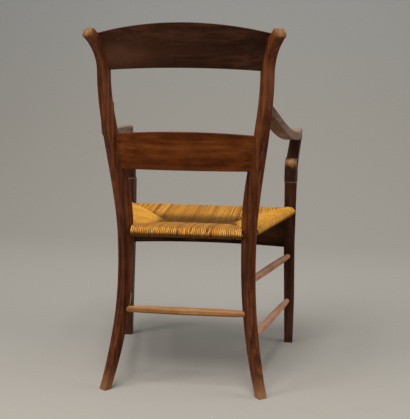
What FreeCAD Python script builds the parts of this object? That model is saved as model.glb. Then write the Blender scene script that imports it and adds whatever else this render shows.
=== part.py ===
# Rush-seated armchair with a two-rail ladder back, in millimetres.
# It stands on the floor with +Z up, its front faces -Y and its own left side is +X.
# While it is built, Y is 0 at the rear posts' axis at the seat; the finished chair is then moved so that
# the origin lies on the floor in the middle of its width and depth.
import FreeCAD, Part
import math
import os

from FreeCAD import Rotation, Vector

# Plan of the chair at the seat
REAR_HALF_SPAN = 155.5
FRONT_HALF_SPAN = 241.5
SEAT_DEPTH = 437.0

# Rear posts: planks sawn to a curve that swings outwards and backwards at both ends
POST_TURN = 51.3
POST_THICKNESS = 27.7
POST_EDGE_EASE = 2.0
POST_CURVE_COUNT = 8
FOOT_CURVE_TOP = 330.0
FOOT_SWEEP = 66.0
BACK_CURVE_START = 392.0
BACK_SWEEP = 64.5
FLARE_START = 790.0
FLARE_RADIUS = 115.0
FLARE_TURN = 53.0
HEAD_CROWN = 3.0
FOOT_WIDTH = 19.0
ANKLE_HEIGHT = 150.0
ANKLE_WIDTH = 24.0
WAIST_WIDTH = 28.0
KNEE_HEIGHT = 480.0
KNEE_WIDTH = 37.0
NECK_WIDTH = 23.5
FOOT_THICKNESS = 22.0
SHAVED_HEIGHT = 210.0

# Front legs
LEG_TOP = 484.0
LEG_SIDE = 35.0
LEG_SHAPE_HEIGHT = 300.0
LEG_SHAPE_SIDE = 31.5
SHIN_HEIGHT = 130.0
SHIN_SIDE = 29.5
SHIN_SPLAY = 4.0
LEG_FOOT_SIDE = 24.5
LEG_FOOT_SPLAY = 5.0
LEG_EDGE_EASE = 1.6

# Crest rail and lower back slat: thin boards bowed backwards
CREST_LOW = 795.0
CREST_LOW_ARCH = 6.0
CREST_TOP = 903.0
CREST_TOP_DROP = 27.0
CREST_TOP_FALL = 33.0
CREST_HORN = 4.0
CREST_OVERLENGTH = 94.5
CREST_THICKNESS = 15.5
CREST_BOW = 27.0
CREST_SETBACK = 42.0
CREST_LEAN = 0.30
CREST_TENON_INSET = 20.0
SLAT_LOW = 556.5
SLAT_LOW_ARCH = 0.5
SLAT_TOP = 651.0
SLAT_TOP_DROP = 9.5
SLAT_OVERLENGTH = 34.5
SLAT_THICKNESS = 14.0
SLAT_BOW = 24.0
SLAT_SETBACK = 15.5
SLAT_LEAN = 0.19
SLAT_TENON_INSET = 14.0
BOARD_TENON_THICKNESS = 8.0
BOARD_EDGE_EASE = 1.2
BOARD_EXCESS = 55.0

# Arms: sawn to a curve from above and from the side; they drop and swing outwards from the posts,
# then run level and end in a roll
ARM_LEVEL = 642.0
ARM_LEVEL_RUN = 207.0
ARM_DROP_FULLNESS = 0.8335
ARM_STRAIGHT_RUN = 123.0
ARM_SWING_FULLNESS = 0.8
ARM_THICKNESS = 22.0
ARM_WIDTH = 33.0
ARM_ROLL_RADIUS = 17.0
ARM_ROLL_REACH = 15.0
ARM_ROLL_BLEND = 58.0
ARM_OUTSET = 12.5
ARM_EDGE_EASE = 2.6
ARM_END_SETBACK = 8.0
ARM_JOINT_HEIGHT = 711.0
ARM_JOINT_OUTSET = -2.5
ARM_TENON_RADIUS = 7.0
ARM_TENON_DEPTH = 34.0
ARM_TENON_PAST = 7.0

# Arm supports: consoles with a roll that faces backwards and a column that leans outwards
SUPPORT_WIDTH = 33.5
SUPPORT_REAR = 17.0
SUPPORT_FRONT = 18.0
SUPPORT_BLOCK_HEIGHT = 43.0
SUPPORT_ROLL_RADIUS = 15.5
SUPPORT_ROLL_SET = 5.0
SUPPORT_NECK = 8.0
SUPPORT_BREAST = 29.0
SUPPORT_BREAST_HEIGHT = 98.0
SUPPORT_BEND_DROP = 8.0
SUPPORT_HEAD_TAPER = 1.0
SUPPORT_TURN = 7.5
FLUTE_COUNT = 5
FLUTE_PITCH = 5.6
FLUTE_RADIUS = 1.9
FLUTE_LENGTH = 33.0
SUPPORT_TENON_RADIUS = 8.0
SUPPORT_TENON_LENGTH = 24.0
COLUMN_TENON_RADIUS = 6.0
COLUMN_TENON_LENGTH = 13.0

# Seat rails and the rush wound over them
RAIL_HEIGHT = 399.0
FRONT_RAIL_DROP = 4.5
SIDE_RAIL_RISE = 4.0
RAIL_WIDTH = 30.0
RAIL_THICKNESS = 18.0
RAIL_EDGE_EASE = 4.5
RAIL_TENON_RADIUS = 5.0
RAIL_TENON_STAGGER = 4.0
RAIL_END_CUT = 26.0
RUSH_THICKNESS = 5.5
SEAT_DISH = 23.0
SEAT_BELLY = 9.0
SEAM_HALF_LENGTH = 82.0
SEAM_SETBACK = 215.0
RUSH_ROLL_FLAT_COUNT = 20
STUFFING_INSET = 34.0

# Front apron
APRON_LOW = 290.0
APRON_ARCH = 7.0
APRON_TOP_GAP = 0.5
APRON_TOP = RAIL_HEIGHT - FRONT_RAIL_DROP - RAIL_THICKNESS / 2 - RUSH_THICKNESS - APRON_TOP_GAP
APRON_THICKNESS = 20.0
APRON_TENON_THICKNESS = 9.0
APRON_TENON_INSET = 16.0
APRON_TENON_DEPTH = 20.0

# Stretchers
STRETCHER_TENON_RADIUS = 5.5
STRETCHER_TAPER = ((0.0, 0.0), (0.2, 0.7), (0.5, 1.0), (0.8, 0.7), (1.0, 0.0))
SIDE_STRETCHER_FLAT_COUNT = 12
REAR_STRETCHER_FLAT_COUNT = 8
UPPER_STRETCHER_RADIUS = 10.0
LOWER_STRETCHER_RADIUS = 10.5
SIDE_STRETCHER_END_RADIUS = 7.0
UPPER_STRETCHER_REAR = 278.5
UPPER_STRETCHER_FRONT = 264.0
LOWER_STRETCHER_REAR = 140.5
LOWER_STRETCHER_FRONT = 128.0
REAR_STRETCHER_HEIGHT = 199.0
REAR_STRETCHER_RADIUS = 9.8
REAR_STRETCHER_END_RADIUS = 7.6

# Wooden pegs that lock the tenons
PEG_RADIUS = 3.0
PEG_FLAT_COUNT = 8
ROUND_FLAT_COUNT = 16
CREST_PEG_HEIGHT = 824.0
SLAT_PEG_HEIGHT = 604.0
APRON_PEG_SPACING = 32.0
PEG_END_GAP = 3.0

# Clearances
SHOULDER_GAP = 0.15
TENON_GAP = 0.15
PEG_GAP = 0.1
RUSH_GAP = 0.3

# Small values of the drawing work, and a length that reaches past any piece
NEARLY_STRAIGHT = 1e-4
FINE_STEP = 0.01
SHORTEST_EDGE = 5.0
FAR = 900.0

UP = Vector(0, 0, 1)
TURN = math.radians(POST_TURN)
HEADING = Vector(math.cos(TURN), math.sin(TURN), 0)
SUPPORT_HEAD_HEADING = Vector(0.12, 0, 1).normalize()


def smooth_step(share):
    """Rise from 0 to 1 with level ends."""
    share = min(1.0, max(0.0, share))
    return share * share * (3 - 2 * share)


def post_sweep(height):
    """Swing of the rear post's centre line away from its axis at the seat."""
    foot = max(0.0, FOOT_CURVE_TOP - height) / FOOT_CURVE_TOP
    back = (height - BACK_CURVE_START) / (FLARE_START - BACK_CURVE_START)
    rise = min(max(0.0, height - FLARE_START), FLARE_RADIUS)
    flare = FLARE_RADIUS - math.sqrt(FLARE_RADIUS**2 - rise**2)
    return FOOT_SWEEP * foot**2 + BACK_SWEEP * smooth_step(back) + flare


def post_width(height):
    """Width of the rear post between its two curved edges."""
    steps = (
        (0.0, FOOT_WIDTH),
        (ANKLE_HEIGHT, ANKLE_WIDTH),
        (FOOT_CURVE_TOP, WAIST_WIDTH),
        (KNEE_HEIGHT, KNEE_WIDTH),
        (FLARE_START, NECK_WIDTH),
    )
    for (low, low_width), (high, high_width) in zip(steps, steps[1:]):
        if height <= high:
            share = smooth_step((height - low) / (high - low))
            return low_width + (high_width - low_width) * share
    return NECK_WIDTH


def post_point(height, across=0.0):
    """Point of the left rear post's middle plane, a distance across from its centre line."""
    reach = post_sweep(height) + across
    return Vector(REAR_HALF_SPAN, 0, height) + HEADING * reach


def leg_point(height):
    """Point of the left front leg's axis above the shaped part."""
    return Vector(FRONT_HALF_SPAN, -SEAT_DEPTH, height)


def post_edge_point(side, height, grow):
    """Point of the post's curved edge at a height: side is 1 outside and -1 inside."""
    return Vector(post_sweep(height) + side * (post_width(height) / 2 + grow), 0, height)


def leaving_arc(start, heading, end):
    """Edge that leaves a point in a heading and bends evenly to another point."""
    chord = end - start
    length = chord.Length
    along = chord * (1 / length)
    share = heading.dot(along)
    across = heading - along * share
    if across.Length < NEARLY_STRAIGHT:
        return line(start, end)
    sagitta = length / 2 * across.Length / (1 + share)
    return arc(start, start + chord * 0.5 + across.normalize() * sagitta, end)


def two_arcs(start, heading, end, last_heading):
    """Two edges of circles that join two points and meet the headings there."""
    chord = end - start
    spread = 2 * (1 - heading.dot(last_heading))
    pull = chord.dot(heading + last_heading)
    if spread < NEARLY_STRAIGHT**2:
        reach = chord.Length**2 / (2 * pull)
    else:
        reach = (math.sqrt(pull**2 + spread * chord.Length**2) - pull) / spread
    joint = (start + end + (heading - last_heading) * reach) * 0.5
    return [leaving_arc(start, heading, joint), leaving_arc(end, last_heading * -1, joint)]


def arc(start, middle, end):
    """Edge of a circle through three points."""
    return Part.Arc(start, middle, end).toShape()


def line(start, end):
    """Straight edge."""
    return Part.makeLine(start, end)


def face(edges):
    """Flat face inside the edges."""
    return Part.Face(Part.Wire(Part.__sortEdges__(edges)))


def polygon(corners):
    """Flat face with straight edges through its corners."""
    return Part.Face(Part.makePolygon(corners + corners[:1]))


def biggest(shape):
    """Largest solid of a cut shape."""
    return max(shape.Solids, key=lambda solid: solid.Volume)


def mirrored(shape):
    """The same piece on the chair's right side."""
    return shape.mirror(Vector(0, 0, 0), Vector(1, 0, 0))


def both(shape):
    """A left piece and its mirror image."""
    return [shape, mirrored(shape)]


def post_edge(side, grow, low):
    """Edges of circles along one side of the post's plank, up to the flare, and its two end points."""
    small = FINE_STEP
    stations = []
    for index in range(POST_CURVE_COUNT + 1):
        height = low + (FLARE_START - low) * index / POST_CURVE_COUNT
        ahead = post_edge_point(side, height + small, grow) - post_edge_point(side, height - small, grow)
        stations.append((post_edge_point(side, height, grow), ahead.normalize()))
    stations[-1] = (stations[-1][0], UP)
    edges = []
    for first, second in zip(stations, stations[1:]):
        edges += two_arcs(*first, *second)
    return edges, stations[0][0], stations[-1][0]


def flare_point(side, turn, grow):
    """Point on the flared head's edge after a turn in degrees."""
    turn = math.radians(turn)
    radius = FLARE_RADIUS - side * (NECK_WIDTH / 2 + grow)
    centre = Vector(BACK_SWEEP + FLARE_RADIUS, 0, FLARE_START)
    return centre + Vector(-math.cos(turn), 0, math.sin(turn)) * radius


def post_blank(grow=0.0):
    """Left rear post with no joints; one that is grown has sharp edges."""
    edges = []
    feet = []
    ends = []
    for side in (1, -1):
        side_edges, foot, neck = post_edge(side, grow, -grow)
        end = flare_point(side, FLARE_TURN, grow)
        edges += side_edges + [arc(neck, flare_point(side, FLARE_TURN / 2, grow), end)]
        feet.append(foot)
        ends.append(end)
    edges.append(line(*feet))
    along = Vector(math.sin(math.radians(FLARE_TURN)), 0, math.cos(math.radians(FLARE_TURN)))
    crown = (ends[0] + ends[1]) * 0.5 + along * (HEAD_CROWN + grow)
    edges.append(arc(ends[0], crown, ends[1]))
    thickness = POST_THICKNESS + 2 * grow
    plank = face(edges).extrude(Vector(0, thickness, 0))
    plank.translate(Vector(0, -thickness / 2, 0))
    if grow == 0:
        plank = plank.makeChamfer(POST_EDGE_EASE, along_edges(plank))
    for side in (1, -1):
        plank = plank.cut(shaving(side, grow))
    plank.rotate(Vector(0, 0, 0), UP, POST_TURN)
    plank.translate(Vector(REAR_HALF_SPAN, 0, 0))
    return plank


def shaving(side, grow):
    """Wedge that a drawknife takes off one flat face of the post, down to its foot."""
    wide = POST_THICKNESS / 2 + grow
    thin = FOOT_THICKNESS / 2 + grow
    low = -5.0
    low_thin = thin - (wide - thin) * -low / SHAVED_HEIGHT
    corners = [(wide, SHAVED_HEIGHT), (wide + 10, SHAVED_HEIGHT), (wide + 10, low), (low_thin, low)]
    points = [Vector(-FAR / 2, side * y, z) for y, z in corners]
    return polygon(points).extrude(Vector(FAR, 0, 0))


def flat_sided(outlines):
    """Solid with flat sides between outlines of as many points each, one above the other."""
    faces = [polygon(outlines[0]), polygon(outlines[-1])]
    for lower, upper in zip(outlines, outlines[1:]):
        for index, corner in enumerate(lower):
            following = (index + 1) % len(lower)
            faces.append(polygon([corner, lower[following], upper[following], upper[index]]))
    return Part.Solid(Part.Shell(faces))


def leg_outline(x, side, height):
    """Corners of a front leg's square section with eased corners."""
    half = side / 2
    eased = half - LEG_EDGE_EASE
    corners = []
    for x_sign, y_sign in ((1, 1), (-1, 1), (-1, -1), (1, -1)):
        pair = [(x_sign * half, y_sign * eased), (x_sign * eased, y_sign * half)]
        corners += pair if x_sign * y_sign > 0 else pair[::-1]
    return [Vector(x + dx, dy - SEAT_DEPTH, height) for dx, dy in corners]


def leg_blank(grow=0.0):
    """Left front leg, tapered and splayed towards the floor, with no joints."""
    return flat_sided([
        leg_outline(FRONT_HALF_SPAN + LEG_FOOT_SPLAY, LEG_FOOT_SIDE + 2 * grow, 0),
        leg_outline(FRONT_HALF_SPAN + SHIN_SPLAY, SHIN_SIDE + 2 * grow, SHIN_HEIGHT),
        leg_outline(FRONT_HALF_SPAN, LEG_SHAPE_SIDE + 2 * grow, LEG_SHAPE_HEIGHT),
        leg_outline(FRONT_HALF_SPAN, LEG_SIDE + 2 * grow, LEG_TOP + grow),
    ])


def along_edges(post):
    """Edges that run along a post, without those round its foot and its head."""
    found = []
    for edge in post.Edges:
        box = edge.BoundBox
        if box.ZLength > SHORTEST_EDGE and box.ZMin < FLARE_START + SHORTEST_EDGE:
            found.append(edge)
    return found


def bowed_board(bow, thickness, low, high, setback, lean, half_span, grow=0.0):
    """Board bent backwards to an arc and tilted back, longer than the rail that is sawn from it."""
    radius = (half_span**2 + bow**2) / (2 * bow)
    swing = math.asin((half_span + BOARD_EXCESS) / radius)
    edges = []
    ends = []
    for offset in (thickness / 2 + grow, -thickness / 2 - grow):
        spread = [Vector(math.sin(a), math.cos(a), 0) * (radius + offset) for a in (-swing, 0, swing)]
        edges.append(arc(*spread))
        ends.append((spread[0], spread[2]))
    edges += [line(ends[0][0], ends[1][0]), line(ends[0][1], ends[1][1])]
    board = face(edges).extrude(UP * (high - low + 2 * BOARD_EXCESS))
    board.translate(Vector(0, bow - radius, -BOARD_EXCESS))
    board.rotate(Vector(0, 0, 0), Vector(1, 0, 0), -math.degrees(math.atan(lean)))
    board.translate(Vector(0, setback, low))
    return board


def board_outline(half_width, low, low_arch, top, top_drop):
    """Block with the board's outline seen from behind: arched below and crowned above."""
    left_low = Vector(-half_width, 0, low)
    right_low = Vector(half_width, 0, low)
    left_top = Vector(-half_width, 0, top - top_drop)
    right_top = Vector(half_width, 0, top - top_drop)
    edges = [
        arc(left_low, Vector(0, 0, low + low_arch), right_low),
        arc(left_top, Vector(0, 0, top), right_top) if top_drop else line(left_top, right_top),
        line(left_low, left_top),
        line(right_low, right_top),
    ]
    block = face(edges).extrude(Vector(0, FAR, 0))
    block.translate(Vector(0, -FAR / 2, 0))
    return block


def post_window(low, high, beyond=0.0, grow=0.0):
    """Block that ends a back rail at the posts' centre lines, taller by a length beyond both heights."""
    slope = (post_point(high).x - post_point(low).x) / (high - low)
    bottom = low - beyond - grow
    top = high + beyond + grow
    low_half = post_point(low).x + grow + slope * (bottom - low)
    high_half = post_point(high).x + grow + slope * (top - high)
    corners = [
        Vector(-low_half, 0, bottom),
        Vector(low_half, 0, bottom),
        Vector(high_half, 0, top),
        Vector(-high_half, 0, top),
    ]
    block = polygon(corners).extrude(Vector(0, FAR, 0))
    block.translate(Vector(0, -FAR / 2, 0))
    return block


def back_rail(outline, low, high, thickness, bow, setback, lean, inset, posts):
    """Bowed rail scribed to the posts; returns it with the cutter for its mortises."""
    half_span = post_point((low + high) / 2).x
    tenon_low = low + inset
    tenon_high = high - inset

    def board(thick, grow=0.0):
        return bowed_board(bow, thick, low, high, setback, lean, half_span, grow)

    body = board(thickness).common(outline)
    body = body.makeChamfer(BOARD_EDGE_EASE, [edge for edge in body.Edges if edge.Length > half_span])
    body = biggest(body.common(post_window(low, high, BOARD_EXCESS)).cut(posts))
    tenon = board(BOARD_TENON_THICKNESS).common(post_window(tenon_low, tenon_high))
    cutter = board(BOARD_TENON_THICKNESS, TENON_GAP).common(post_window(tenon_low, tenon_high, 0.0, TENON_GAP))
    return body.fuse(tenon).removeSplitter(), cutter


def rod(start, end, radius):
    """Round bar or drilled hole from one point to another, drawn with flats that keep its mesh light."""
    outline = polygon(shaved_outline(ROUND_FLAT_COUNT, radius, 0))
    return placed_along(outline.extrude(UP * start.distanceToPoint(end)), start, end)


def placed_along(shape, start, end):
    """Shape built on the Z axis, laid from the start point towards the end point."""
    turn = Rotation(UP, end - start)
    shape.Placement = FreeCAD.Placement(start, turn)
    return shape


def shaved_outline(sides, radius, height):
    """Corners of a many-sided outline round the Z axis, with a flat at its top and bottom."""
    points = []
    for index in range(sides):
        angle = math.tau * (index + 0.5) / sides
        points.append(Vector(math.cos(angle) * radius, math.sin(angle) * radius, height))
    return points


def stretcher(start, end, sides, middle_radius, end_radius):
    """Stick shaved to flats along its length, fullest in its middle."""
    length = start.distanceToPoint(end)
    outlines = []
    for share, fullness in STRETCHER_TAPER:
        radius = end_radius + (middle_radius - end_radius) * fullness
        outlines.append(shaved_outline(sides, radius, length * share))
    return placed_along(flat_sided(outlines), start, end)


def joined_stick(stick, start, end, start_depth, end_depth, radius, carriers, rise=0.0):
    """Stick scribed to what carries it, with round tenons; returns it with its mortise cutter."""
    along = (end - start).normalize()
    lift = Vector(0, 0, rise)
    first = start + lift + along * start_depth
    last = end + lift - along * end_depth
    body = biggest(stick.cut(carriers))
    cutter = rod(first - along * TENON_GAP, last + along * TENON_GAP, radius + TENON_GAP)
    return body.fuse(rod(first, last, radius)).removeSplitter(), cutter


def seat_rail(start, end, grow=0.0):
    """Flattened stick with eased edges, level in its width, that stops short of two axes."""
    length = start.distanceToPoint(end) - 2 * (RAIL_END_CUT - grow)
    wide = RAIL_WIDTH + 2 * grow
    thick = RAIL_THICKNESS + 2 * grow
    bar = Part.makeBox(length, wide, thick, Vector(RAIL_END_CUT - grow, -wide / 2, -thick / 2))
    edges = [edge for edge in bar.Edges if abs(edge.Length - length) < 0.01]
    bar = bar.makeChamfer(RAIL_EDGE_EASE + grow, edges)
    return laid_level(bar, start, end)


def laid_level(shape, start, end):
    """Shape built on the X axis, laid from the start point towards the end point with its width level."""
    along = (end - start).normalize()
    shape.Placement = FreeCAD.Placement(start, Rotation(along, Vector(), UP, "XZY"))
    return shape


def rail_ends():
    """Ends of the four seat rails on the axes of the posts and legs."""
    side_height = RAIL_HEIGHT + SIDE_RAIL_RISE
    post = post_point(RAIL_HEIGHT)
    leg = leg_point(RAIL_HEIGHT - FRONT_RAIL_DROP)
    side_post = post_point(side_height)
    side_leg = leg_point(side_height - FRONT_RAIL_DROP)
    return {
        "front_seat_rail": (Vector(-leg.x, leg.y, leg.z), leg),
        "rear_seat_rail": (Vector(-post.x, post.y, post.z), post),
        "left_seat_rail": (side_post, side_leg),
    }


def rush_roll(start, end, cut_start, cut_end):
    """Oval roll of rush round one rail, shortened at its ends."""
    along = (end - start).normalize()
    start = start + along * cut_start
    length = start.distanceToPoint(end) - cut_end
    wide = RAIL_WIDTH / 2 + RUSH_THICKNESS
    tall = RAIL_THICKNESS / 2 + RUSH_THICKNESS
    oval = []
    for index in range(RUSH_ROLL_FLAT_COUNT):
        angle = math.tau * index / RUSH_ROLL_FLAT_COUNT
        oval.append(Vector(0, math.cos(angle) * wide, math.sin(angle) * tall))
    return laid_level(polygon(oval).extrude(Vector(length, 0, 0)), start, end)


def hipped_slab(inset, top, top_seam, low, low_seam):
    """Slab under four sloping panels that meet at a seam, inset from the rails' centre lines."""
    front = -SEAT_DEPTH + inset
    rear = -inset
    slope = (FRONT_HALF_SPAN - REAR_HALF_SPAN) / SEAT_DEPTH
    side_inset = inset * math.sqrt(1 + slope**2)
    front_half = REAR_HALF_SPAN - slope * front - side_inset
    rear_half = REAR_HALF_SPAN - slope * rear - side_inset
    seam_y = -SEAM_SETBACK
    seam_half = SEAM_HALF_LENGTH
    plan = [
        (-front_half, front, FRONT_RAIL_DROP),
        (front_half, front, FRONT_RAIL_DROP),
        (rear_half, rear, 0.0),
        (-rear_half, rear, 0.0),
    ]
    seam = [(-seam_half, seam_y), (seam_half, seam_y)]
    shells = []
    for edge_z, seam_z in ((top, top_seam), (low, low_seam)):
        corners = [Vector(x, y, edge_z - drop) for x, y, drop in plan]
        ridge = [Vector(x, y, seam_z) for x, y in seam]
        shells.append((corners, ridge))
    faces = []
    for corners, ridge in shells:
        panels = [
            [corners[0], corners[1], ridge[1], ridge[0]],
            [corners[1], corners[2], ridge[1]],
            [corners[2], corners[3], ridge[0], ridge[1]],
            [corners[3], corners[0], ridge[0]],
        ]
        faces += [polygon(panel) for panel in panels]
    upper, lower = shells[0][0], shells[1][0]
    for index in range(4):
        following = (index + 1) % 4
        faces.append(polygon([upper[index], upper[following], lower[following], lower[index]]))
    return Part.Solid(Part.Shell(faces))


def rush_seat(carriers):
    """Rush seat: rolls over the four rails, four dished panels, and room for rails and stuffing."""
    half_roll = RAIL_THICKNESS / 2 + RUSH_THICKNESS
    top = RAIL_HEIGHT + half_roll
    low = RAIL_HEIGHT - half_roll
    seat = hipped_slab(0.0, top, top - SEAT_DISH, low, low - SEAT_BELLY)
    ends = rail_ends()
    half_leg = LEG_SIDE / 2
    seat = seat.fuse(rush_roll(*ends["front_seat_rail"], half_leg, half_leg))
    seat = seat.fuse(rush_roll(*ends["rear_seat_rail"], POST_THICKNESS / 2, POST_THICKNESS / 2))
    side_roll = rush_roll(*ends["left_seat_rail"], POST_THICKNESS / 2, half_leg)
    seat = seat.fuse(both(side_roll))
    channels = []
    for start, end in (ends["front_seat_rail"], ends["rear_seat_rail"]):
        channels.append(rail_channel(start, end, -RAIL_TENON_STAGGER))
    channels += both(rail_channel(*ends["left_seat_rail"], RAIL_TENON_STAGGER))
    cavity = stuffing(0.0)
    return biggest(seat.cut(carriers).cut(channels).cut(cavity))


def rail_channel(start, end, rise):
    """Room for one rail and its tenons in the rush."""
    lift = Vector(0, 0, rise)
    return seat_rail(start, end, RUSH_GAP).fuse(rod(start + lift, end + lift, RAIL_TENON_RADIUS + RUSH_GAP))


def stuffing(gap):
    """Straw packed between the upper and the lower rush."""
    half_roll = RAIL_THICKNESS / 2 + RUSH_THICKNESS
    skin = RUSH_THICKNESS + gap
    top = RAIL_HEIGHT + half_roll - skin
    low = RAIL_HEIGHT - half_roll + skin
    return hipped_slab(STUFFING_INSET + gap, top - 3, top - SEAT_DISH, low, low - SEAT_BELLY)


def arm_origin():
    """Middle of the top of the left arm's roll."""
    return leg_point(ARM_LEVEL) + Vector(ARM_OUTSET, -ARM_ROLL_REACH, 0)


def bend(run, last, rise, fullness):
    """Radius and turn of an arc, after a straight run, whose slope then passes a point along and across."""
    along = last - run
    radius = fullness * (along**2 + rise**2) / (2 * rise)
    reach = math.hypot(along, radius - rise)
    return radius, math.atan2(along, radius - rise) - math.acos(radius / reach)


def arm_bends():
    """Radius and turn of the arm's drop and its swing, which bring its middle line to the joint in the post."""
    joint = post_point(ARM_JOINT_HEIGHT)
    origin = arm_origin()
    last = joint.y - origin.y
    half = ARM_THICKNESS / 2
    inwards = origin.x - joint.x - ARM_JOINT_OUTSET
    radius, turn = bend(ARM_LEVEL_RUN, last, ARM_JOINT_HEIGHT - ARM_LEVEL + half, ARM_DROP_FULLNESS)
    return (radius - half, turn), bend(ARM_STRAIGHT_RUN, last, inwards, ARM_SWING_FULLNESS)


def bent_line(run, radius, turn, last, offset):
    """Straight run, arc and slope of one long edge with its two ends; X runs back, Z towards the bend."""
    start = Vector(run, 0, -offset)
    centre = Vector(run, 0, radius)
    middle = centre + Vector(math.sin(turn / 2), 0, -math.cos(turn / 2)) * (radius + offset)
    bend = centre + Vector(math.sin(turn), 0, -math.cos(turn)) * (radius + offset)
    end = Vector(last, 0, bend.z + (last - bend.x) * math.tan(turn))
    return start, end, [arc(start, middle, bend), line(bend, end)]


def arm_side(last, grow):
    """Arm seen from its side as a flat face: the strap with the roll at its front."""
    drop = arm_bends()[0]
    top_start, top_end, edges = bent_line(ARM_LEVEL_RUN, *drop, last, -grow)
    low_start, low_end, low_edges = bent_line(ARM_LEVEL_RUN, *drop, last, ARM_THICKNESS + grow)
    radius = ARM_ROLL_RADIUS + grow
    top = Vector(0, 0, grow)
    front = Vector(-radius, 0, -ARM_ROLL_RADIUS)
    bottom = Vector(0, 0, -ARM_ROLL_RADIUS - radius)
    blend = Vector(ARM_ROLL_BLEND, 0, low_start.z)
    edges += low_edges
    edges += [line(top, top_start), arc(top, front, bottom), line(bottom, blend)]
    edges += [line(blend, low_start), line(low_end, top_end)]
    return face(edges)


def arm_plan(last, grow):
    """Arm seen from above as a flat face; Z runs towards the chair's middle."""
    swing = arm_bends()[1]
    half = ARM_WIDTH / 2 + grow
    front = -2 * ARM_ROLL_RADIUS
    edges = [line(Vector(front, 0, half), Vector(front, 0, -half))]
    ends = []
    for side in (half, -half):
        start, end, side_edges = bent_line(ARM_STRAIGHT_RUN, *swing, last, -side)
        edges += side_edges + [line(Vector(front, 0, side), start)]
        ends.append(end)
    edges.append(line(ends[0], ends[1]))
    return face(edges)


def arm_blank(grow=0.0):
    """Left arm with its roll, running into the post, with no joints."""
    origin = arm_origin()
    last = post_point(ARM_JOINT_HEIGHT).y - origin.y - ARM_END_SETBACK
    strap = arm_side(last, grow).extrude(Vector(0, FAR, 0))
    strap.translate(Vector(0, -FAR / 2, 0))
    plan = arm_plan(last, grow).extrude(Vector(0, FAR, 0))
    plan.translate(Vector(0, -FAR / 2, 0))
    plan.rotate(Vector(0, 0, 0), Vector(1, 0, 0), -90)
    arm = strap.common(plan)
    if grow == 0:
        arm = arm.makeChamfer(ARM_EDGE_EASE, [edge for edge in arm.Edges if is_roll_rim(edge)])
    arm.rotate(Vector(0, 0, 0), UP, 90)
    arm.translate(origin)
    return arm


def is_roll_rim(edge):
    """Whether an edge goes round the front of the arm's roll; a chamfer runs on from it along the top."""
    box = edge.BoundBox
    return box.XMin < -ARM_ROLL_RADIUS / 2 and box.ZLength > ARM_ROLL_RADIUS


def arm_joint():
    """Point on the post's axis where the left arm's tenon crosses it, and the heading from there backwards."""
    (_, drop), (_, swing) = arm_bends()
    return post_point(ARM_JOINT_HEIGHT), Vector(-math.tan(swing), 1, math.tan(drop)).normalize()


def support_side_profile():
    """Console seen from its side: a block, a roll facing backwards and a column; X runs backwards."""
    block_top = LEG_TOP + SUPPORT_BLOCK_HEIGHT
    roll = Vector(SUPPORT_ROLL_SET, 0, block_top + SUPPORT_ROLL_RADIUS - 1.5)
    top = ARM_LEVEL - ARM_ROLL_RADIUS
    base_rear = Vector(SUPPORT_REAR, 0, LEG_TOP)
    rear = Vector(SUPPORT_REAR, 0, block_top)
    rear_roll = roll + Vector(SUPPORT_ROLL_RADIUS, 0, 0)
    crown = roll + Vector(-math.sin(math.radians(35)), 0, math.cos(math.radians(35))) * SUPPORT_ROLL_RADIUS
    over = roll + Vector(math.sin(math.radians(30)), 0, math.cos(math.radians(30))) * SUPPORT_ROLL_RADIUS
    neck = Vector(-SUPPORT_NECK, 0, (crown.z + top) / 2)
    column_rear = Vector(-SUPPORT_NECK + 3, 0, top)
    column_front = Vector(-SUPPORT_FRONT - 6, 0, top)
    breast = Vector(-SUPPORT_BREAST, 0, LEG_TOP + SUPPORT_BREAST_HEIGHT)
    front = Vector(-SUPPORT_FRONT, 0, block_top)
    base_front = Vector(-SUPPORT_FRONT, 0, LEG_TOP)
    return [
        line(base_rear, rear),
        line(rear, rear_roll),
        arc(rear_roll, over, crown),
        arc(crown, neck, column_rear),
        line(column_rear, column_front),
        arc(column_front, breast, front),
        line(front, base_front),
        line(base_front, base_rear),
    ]


def support_front_profile():
    """Console seen from the front: straight block, then a column that leans outwards; X runs outwards."""
    half = SUPPORT_WIDTH / 2
    block_top = LEG_TOP + SUPPORT_BLOCK_HEIGHT
    top = ARM_LEVEL
    bases = []
    heads = []
    edges = []
    for side in (-1, 1):
        base = Vector(side * half, 0, LEG_TOP)
        bend = Vector(side * half, 0, block_top - SUPPORT_BEND_DROP)
        head = Vector(ARM_OUTSET + side * (half - SUPPORT_HEAD_TAPER), 0, top)
        edges += [line(base, bend)] + two_arcs(bend, UP, head, SUPPORT_HEAD_HEADING)
        bases.append(base)
        heads.append(head)
    return edges + [line(*bases), line(*heads)]


def support_blank():
    """Left arm support, sawn from two sides and fluted, standing on its leg."""
    side = face(support_side_profile()).extrude(Vector(0, 120, 0))
    side.translate(Vector(0, -60, 0))
    front = face(support_front_profile()).extrude(Vector(0, 160, 0))
    front.translate(Vector(0, -80, 0))
    front.rotate(Vector(0, 0, 0), UP, -90)
    console = side.common(front)
    for index in range(FLUTE_COUNT):
        across = (index - (FLUTE_COUNT - 1) / 2) * FLUTE_PITCH
        for x in (SUPPORT_REAR, -SUPPORT_FRONT):
            console = console.cut(flute(x, across))
    console.rotate(Vector(0, 0, 0), UP, 90 + SUPPORT_TURN)
    axis = leg_point(0)
    console.translate(axis)
    return console


def flute(x, across):
    """Round-bottomed groove down one face of the console's block."""
    low = LEG_TOP + (SUPPORT_BLOCK_HEIGHT - FLUTE_LENGTH) / 2
    start = Vector(x, across, low)
    return rod(start, start + UP * FLUTE_LENGTH, FLUTE_RADIUS)


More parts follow.
